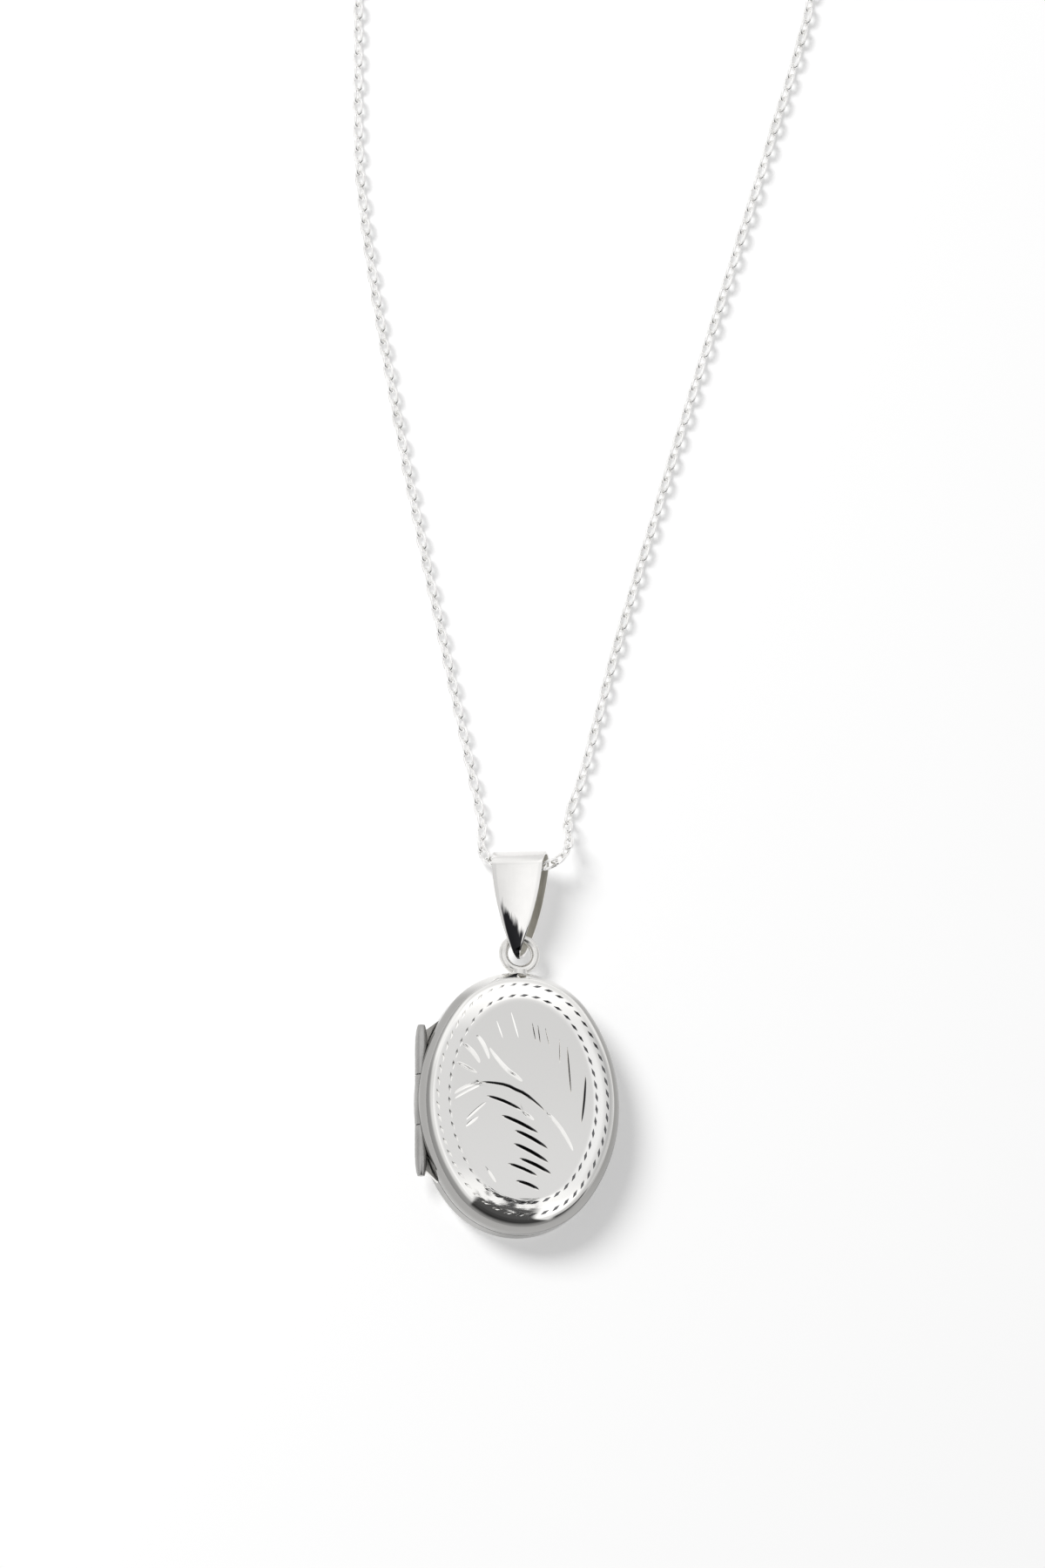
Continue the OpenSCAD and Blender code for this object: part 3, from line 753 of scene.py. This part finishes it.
# The strap's inner side is darker, olive-brown and less metallic, a painted shade with a painted
# reflection from inside the fold.
inner_strap_shade = silver(
    "inner_strap_shade", (0.78, 0.76, 0.70), (0.52, 0.50, 0.44),
    dull=0.30, duller=0.45, hairline=0.20)
inner_strap_shade.node_tree.nodes["Principled BSDF"].inputs["Metallic"].default_value = 0.35
bail.data.materials.append(bail_silver_and_reflection)
bail.data.materials.append(inner_strap_shade)
sheet = bail.modifiers.new("sheet", "SOLIDIFY")
sheet.thickness = strap_thick
sheet.offset = -1
sheet.use_even_offset = True
sheet.material_offset = 1
sheet.material_offset_rim = 0
bpy.ops.object.modifier_apply(modifier=sheet.name)
edges = bail.modifiers.new("edges", "BEVEL")
edges.width = strap_edge_bevel
edges.segments = 2
edges.limit_method = "ANGLE"
edges.angle_limit = math.radians(50)
bpy.ops.object.modifier_apply(modifier=edges.name)
bpy.ops.object.shade_smooth_by_angle(angle=math.radians(40))
bail.matrix_world = (
    Matrix.Translation(bail_pivot) @ Matrix.Rotation(bail_rise, 4, "X")
    @ Matrix.Rotation(-bail_roll, 4, "Y") @ Matrix.Translation((0, -bail_slack, 0)))
set_down(bail)

# Painted dark reflection on the bail's front by its tip.
tip_reflection_dark = (0.02, 0.02, 0.022)
dark_line_x = 0.7 * mm
dark_line_y = 13.2 * mm
dark_line_slope = 1.42
edge_noise_length = 2.2 * mm
dark_start = 0.35 * mm
dark_full = -0.70 * mm
# Shares of the strap's width, from its left edge, over which the painted dark reflection sets in.
left_edge = (0.06, 0.12)
right_edge = (0.90, 0.82)


def paint_tip_reflection(material, strap):
    """The painted dark reflection by the tip ends along a slanting line, made ragged by stretched noise,
    and stops short of the two long edges, which keep the strap's bright tone."""
    nodes = material.node_tree.nodes
    links = material.node_tree.links
    axes = object_axes(material)
    from_line = arithmetic(material, "SUBTRACT", axes["X"], dark_line_x)
    past_line = arithmetic(
        material, "ADD", arithmetic(material, "SUBTRACT", axes["Y"], dark_line_y),
        arithmetic(material, "MULTIPLY", from_line, dark_line_slope))

    place = nodes.new("ShaderNodeTexCoord")
    stretch = nodes.new("ShaderNodeMapping")
    stretch.inputs["Rotation"].default_value = (0, 0, math.radians(35))
    stretch.inputs["Scale"].default_value = (600, 70, 90)
    links.new(place.outputs["Object"], stretch.inputs["Vector"])
    edge_noise = nodes.new("ShaderNodeTexNoise")
    edge_noise.inputs["Scale"].default_value = 9
    edge_noise.inputs["Detail"].default_value = 4
    links.new(stretch.outputs["Vector"], edge_noise.inputs["Vector"])
    edge_noise_reach = arithmetic(
        material, "MULTIPLY", arithmetic(material, "SUBTRACT", edge_noise.outputs["Fac"], 0.5), edge_noise_length)
    ragged = arithmetic(material, "ADD", past_line, edge_noise_reach)

    strap_map = nodes.new("ShaderNodeUVMap")
    strap_map.uv_map = strap.data.uv_layers[0].name
    across_strap = nodes.new("ShaderNodeSeparateXYZ")
    links.new(strap_map.outputs["UV"], across_strap.inputs["Vector"])
    from_left = across_strap.outputs["X"]
    between_edges = arithmetic(
        material, "MULTIPLY",
        fade(material, from_left, *left_edge), fade(material, from_left, *right_edge))
    by_tip = fade(material, ragged, dark_start, dark_full)
    mix_tone(material, tip_reflection_dark, arithmetic(material, "MULTIPLY", by_tip, between_edges))


paint_tip_reflection(bail_silver_and_reflection, bail)
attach(bail, "necklace")
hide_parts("bail")


# Chain: trace chain of soldered oval wire links, each a quarter turn from the next. It runs through
# the bail, and the length outside the picture lies in a flat coil that ends in the bolt ring.

link_pitch = 1.0 * mm
link_width = 1.0 * mm
link_wire = 0.27 * mm
link_play = 0.06 * mm
link_reach = (link_pitch + link_wire + link_play) / 2
# Routes in millimetres, from inside the bail outwards.
left_route = [
    (0.3, 19.1, 2.2), (-0.7, 19, 1.6), (-1.3, 19.2, 1.35), (-2.2, 19.9, 1.05), (-2.5, 20.7, 0.75),
    (-2.5, 22.2, 0.55), (-2.6, 23.8, 0.5), (-4.9, 34.4, 0.5), (-7, 44, 0.5), (-9, 53.8, 0.5),
    (-11.2, 66, 0.5), (-12.3, 74, 0.5), (-12.6, 80, 0.5), (-12.6, 90, 0.5), (-12.6, 101, 0.5),
]
right_route = [
    (0.3, 19.1, 2.2), (1.5, 18.85, 2.75), (1.95, 19.1, 3), (3.05, 19.55, 3.05), (3.7, 20.25, 2.75),
    (4.25, 21.3, 2.15), (4.3, 22.3, 1.4), (4.6, 24, 0.55), (5.9, 28, 0.5), (8.4, 37.6, 0.5),
    (11.3, 47.6, 0.5), (15, 60, 0.5), (18.8, 72.4, 0.5), (21.7, 82, 0.5), (24.2, 90.5, 0.5),
    (24.8, 95, 0.5), (24.3, 99.5, 0.5), (23.2, 102.65, 0.55), (21.7, 104.5, 1.2), (20.95, 105.6, 1.25),
]
tail_route = [
    (-3.3, 110.3, 1.95), (-0.8, 110.2, 1.5), (1.6, 110, 0.8), (4.4, 110, 0.53), (8, 111.2, 0.53),
    (11, 113.2, 0.53), (13.4, 114.4, 0.53), (15.2, 114, 0.53), (16.62, 111.89, 0.53),
]


def smooth_line(route):
    """Curve through the route's points, as close points in metres."""
    steps = 8
    points = [Vector(p) * mm for p in route]
    line = []
    for i in range(len(points) - 1):
        a, b = points[max(i - 1, 0)], points[i]
        c, d = points[i + 1], points[min(i + 2, len(points) - 1)]
        for k in range(steps):
            t = k / steps
            line.append(0.5 * (2 * b + (c - a) * t + (2 * a - 5 * b + 4 * c - d) * t * t
                               + (3 * b - a - 3 * c + d) * t * t * t))
    return line + [points[-1]]


def coil_line():
    """The stored length: in on the lower layer, up in half a turn, out again on the upper layer."""
    turns = 8.25
    steps = 24
    outer, inner, layer = 8 * mm, 2.2 * mm, 1.45 * mm
    middle = Vector((-4.6 * mm, 102.3 * mm, 0.5 * mm))
    line = []
    for i in range(1, int(steps * turns) + 1):
        t = i / steps
        radius = inner + (outer - inner) * abs(t - turns / 2) / (turns / 2)
        height = layer * min(max(2 * (t - turns / 2) + 0.5, 0), 1)
        angle = 2 * math.pi * t
        line.append(middle + Vector((-radius * math.cos(angle), radius * math.sin(angle), height)))
    return line


def run_length(line):
    """The length of a line of points."""
    return sum((b - a).length for a, b in zip(line, line[1:]))


def even_steps(line, pitch):
    """Points about one pitch apart along a line, from its first point to its last."""
    count = math.ceil(run_length(line) / pitch)
    step = run_length(line) / count
    points, gone, wanted = [line[0]], 0, step
    for a, b in zip(line, line[1:]):
        span = (b - a).length
        while gone + span >= wanted - 1e-9 and len(points) < count:
            points.append(a + (b - a) * ((wanted - gone) / span))
            wanted += step
        gone += span
    return points + [line[-1]]


# One link: a wire ring whose two halves are drawn apart to an oval.
start_piece()
bend = (link_width - link_wire) / 2
bpy.ops.mesh.primitive_torus_add(
    major_segments=12, minor_segments=6, major_radius=bend, minor_radius=link_wire / 2)
link = bpy.context.object
for toward in (1, -1):
    pick(link, "vertices", lambda vertex: vertex.co.x * toward > 0.02 * mm)
    bpy.ops.transform.translate(value=(toward * (link_reach - bend), 0, 0))
bpy.ops.object.mode_set(mode="OBJECT")
bpy.ops.object.shade_smooth()

chain_silver = silver(
    "chain_silver", (0.98, 0.975, 0.965), (0.90, 0.895, 0.88),
    dull=0.04, duller=0.12, hairline=0.10)
first_turn = math.radians(45)
quarter_turn = math.radians(90)


def link_chain(name, line):
    """Links copied along a line, each turned a quarter against the one before, joined as one piece."""
    joints = even_steps(line, link_pitch)
    copies = []
    for number, (a, b) in enumerate(zip(joints, joints[1:])):
        run = b - a
        copy = bpy.data.objects.new(name, link.data.copy())
        bpy.context.scene.collection.objects.link(copy)
        copy.matrix_world = (
            Matrix.Translation((a + b) / 2)
            @ Matrix.Rotation(math.atan2(run.y, run.x), 4, "Z")
            @ Matrix.Rotation(-math.atan2(run.z, math.hypot(run.x, run.y)), 4, "Y")
            @ Matrix.Rotation(first_turn + quarter_turn * (number % 2), 4, "X"))
        copies.append(copy)
    take(copies[0])
    for copy in copies:
        copy.select_set(True)
    bpy.ops.object.join()
    chain = bpy.context.object
    chain.name = name
    set_down(chain)
    chain.data.materials.append(chain_silver)
    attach(chain, "necklace")
    return chain


left_line = smooth_line(left_route) + coil_line() + smooth_line(tail_route)
right_line = smooth_line(right_route)
left_chain = link_chain("links_left", left_line)
right_chain = link_chain("links_right", right_line)
bpy.data.objects.remove(link)
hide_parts("chain_left", "chain_coil", "chain_tail")
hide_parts("chain_right")


# Bolt ring: a ring of silver tube with a spring bolt drawn back by its lug. A soldered eye and a jump
# ring join it to the chain, and a plain ring on the chain's other end hooks into it.

clasp_silver = silver(
    "clasp_silver", (0.94, 0.93, 0.91), (0.84, 0.83, 0.81),
    dull=0.07, duller=0.16, hairline=0.15)
for node in ("clasp_tube", "clasp_bolt", "clasp_eye", "clasp_link", "end_ring"):
    finish_node(node, clasp_silver)
spring_steel = silver(
    "spring_steel", (0.42, 0.42, 0.43), (0.30, 0.30, 0.31),
    dull=0.25, duller=0.40, hairline=0.20)

# The spring is shut between the bolt and the closed end of its bore.
spring = bpy.data.objects.new("spring_wire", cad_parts["clasp_spring"].data.copy())
bpy.context.scene.collection.objects.link(spring)
take(spring)
bpy.ops.object.mode_set(mode="EDIT")
bpy.ops.mesh.select_all(action="SELECT")
bpy.ops.mesh.remove_doubles(threshold=0.001 * mm)
bpy.ops.object.mode_set(mode="OBJECT")
bpy.ops.object.shade_smooth_by_angle(angle=math.radians(60))
spring.data.materials.clear()
spring.data.materials.append(spring_steel)
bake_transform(spring)
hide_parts("clasp_spring")


# Table and studio: a white sheet under the locket, one large soft lamp above on the left, and a white
# room with a dark side towards the camera, which gives polished silver its few dark reflections.

start_piece()
bpy.ops.mesh.primitive_plane_add(size=6)
table = bpy.context.object
table.name = "table"
paper_lift = 0.35
paper = bpy.data.materials.new("white_paper")
paper.use_nodes = True
paper_nodes = paper.node_tree.nodes
paper_links = paper.node_tree.links
matt = paper_nodes["Principled BSDF"]
matt.inputs["Base Color"].default_value = (0.90, 0.90, 0.90, 1)
matt.inputs["Roughness"].default_value = 0.9
matt.inputs["Specular IOR Level"].default_value = 0.0

# Seen straight, mirrored in silver or through a window, the paper is lifted to white.
paper_rays = paper_nodes.new("ShaderNodeLightPath").outputs
seen_or_mirrored = arithmetic(
    paper, "MAXIMUM", paper_rays["Is Camera Ray"], paper_rays["Is Glossy Ray"])
seen_any_way = arithmetic(paper, "MAXIMUM", seen_or_mirrored, paper_rays["Is Transmission Ray"])
lift = paper_nodes.new("ShaderNodeEmission")
paper_links.new(arithmetic(paper, "MULTIPLY", seen_any_way, paper_lift), lift.inputs["Strength"])
both = paper_nodes.new("ShaderNodeAddShader")
paper_links.new(matt.outputs["BSDF"], both.inputs[0])
paper_links.new(lift.outputs["Emission"], both.inputs[1])
paper_links.new(both.outputs["Shader"], paper_nodes["Material Output"].inputs["Surface"])
table.data.materials.append(paper)

lamp_distance = 0.6
lamp_aim = Vector((0, 0.02, 0))
lamp_way = Vector((-0.60, 0.34, 0.72)).normalized()
lamp = bpy.data.lights.new("soft_lamp", "AREA")
lamp.shape = "DISK"
lamp.size = 0.26
lamp.energy = 2.4
soft_lamp = bpy.data.objects.new("soft_lamp", lamp)
bpy.context.scene.collection.objects.link(soft_lamp)
soft_lamp.location = lamp_aim + lamp_way * lamp_distance
soft_lamp.rotation_euler = lamp_way.to_track_quat("Z", "Y").to_euler()
soft_lamp.visible_glossy = False

room = bpy.data.worlds.new("white_room")
bpy.context.scene.world = room
room.use_nodes = True
room_nodes = room.node_tree.nodes
room_links = room.node_tree.links
way = room_nodes.new("ShaderNodeTexCoord").outputs["Generated"]
parts = room_nodes.new("ShaderNodeSeparateXYZ")
room_links.new(way, parts.inputs["Vector"])
right, back, up = parts.outputs


def room_patch(strength, *edges):
    """The strength in the patch of the room that lies inside all its soft edges, and 0 elsewhere."""
    patch = strength
    for edge in edges:
        patch = arithmetic(room, "MULTIPLY", patch, edge)
    return patch


# The walls brighten towards the ceiling, and white cards stand on the left, at the back and on the
# right. Each edge of a patch fades along one part of the way out, from outside the patch to inside it.
low_wall = 0.62
ceiling = 1.0
left_glow = 0.14
back_glow = 0.25
right_glow = 0.20
slant_rise = 0.36
wall_top = math.sin(math.radians(36))
ceiling_edge = math.sin(math.radians(60))
overhead = fade(room, up, wall_top, ceiling_edge)
walls = arithmetic(
    room, "ADD", low_wall, arithmetic(room, "MULTIPLY", overhead, ceiling - low_wall))
slant = arithmetic(room, "ADD", right, arithmetic(room, "MULTIPLY", up, slant_rise))
left_card = room_patch(left_glow, fade(room, right, -0.30, -0.50), fade(room, up, 0.0, 0.30))
back_card = room_patch(back_glow, fade(room, back, 0.35, 0.55))
right_card = room_patch(
    right_glow, fade(room, slant, 0.62, 0.67), fade(room, right, 0.62, 0.55),
    fade(room, back, 0.0, -0.06))
white_room = walls
for card in (left_card, back_card, right_card):
    white_room = arithmetic(room, "ADD", white_room, card)

# The unlit front of the room has an uneven edge, and a dark stand is beside it.
fringe = room_nodes.new("ShaderNodeTexNoise")
fringe.inputs["Scale"].default_value = 17
fringe.inputs["Detail"].default_value = 1.5
room_links.new(way, fringe.inputs["Vector"])
fringe_reach = 0.7
front_dark = 0.92
stand_dark = 0.85
corner_slope = 1.2
uneven = arithmetic(
    room, "MULTIPLY", arithmetic(room, "SUBTRACT", fringe.outputs["Fac"], 0.5), fringe_reach)
past_corner = arithmetic(room, "SUBTRACT", arithmetic(room, "MULTIPLY", right, corner_slope), back)
dark_front = room_patch(
    front_dark, fade(room, past_corner, 0.0, 0.08), fade(room, slant, 0.65, 0.60),
    fade(room, arithmetic(room, "ADD", back, uneven), -0.01, -0.05), fade(room, up, 0.02, 0.28))
dark_stand = room_patch(
    stand_dark, fade(room, right, 0.60, 0.68), fade(room, back, -0.25, -0.33),
    fade(room, up, 0.03, 0.12), fade(room, up, 0.36, 0.30))
unlit = arithmetic(room, "MAXIMUM", dark_front, dark_stand)
mirrored = arithmetic(room, "MULTIPLY", white_room, arithmetic(room, "SUBTRACT", 1.0, unlit))

# Silver mirrors this room, the camera sees plain white, and everything else gets an even soft light.
spread_light = 0.27
rays = room_nodes.new("ShaderNodeLightPath").outputs
in_mirror = arithmetic(room, "MULTIPLY", rays["Is Glossy Ray"], mirrored)
straight = arithmetic(room, "MAXIMUM", rays["Is Camera Ray"], rays["Is Transmission Ray"])
rest = arithmetic(room, "SUBTRACT", 1.0, arithmetic(room, "MAXIMUM", rays["Is Glossy Ray"], straight))
level = arithmetic(
    room, "ADD", arithmetic(room, "ADD", in_mirror, straight),
    arithmetic(room, "MULTIPLY", rest, spread_light))
room_links.new(level, room_nodes["Background"].inputs["Strength"])
room_nodes["Background"].inputs["Color"].default_value = (1, 1, 1, 1)

bpy.context.scene.view_settings.view_transform = "Standard"


# Camera: a long lens above the locket, leaning towards its hinge and its lower end as in the picture.
# The picture is taller than wide, and its middle lies between the bail and the top of the chain.

frame_height = 122.4 * mm
camera_distance = 0.9
sensor_width = 36
shift_right = 0.41 * mm
shift_up = 25.06 * mm
to_camera = Vector((-0.2177, -0.2394, 0.946)).normalized()
picture_right = Vector((0.9744, 0, 0.2243)).normalized()
picture_up = to_camera.cross(picture_right)
picture_middle = Vector((0, 0, case_middle)) + picture_right * shift_right + picture_up * shift_up
lens = bpy.data.cameras.new("long_lens")
lens.sensor_width = sensor_width
lens.lens = sensor_width * camera_distance / frame_height
lens.clip_start = 0.05
camera = bpy.data.objects.new("camera", lens)
bpy.context.scene.collection.objects.link(camera)
camera.matrix_world = Matrix.Translation(picture_middle + to_camera * camera_distance) @ Matrix(
    (picture_right, picture_up, to_camera)).transposed().to_4x4()
bpy.context.scene.camera = camera

bpy.context.view_layer.update()
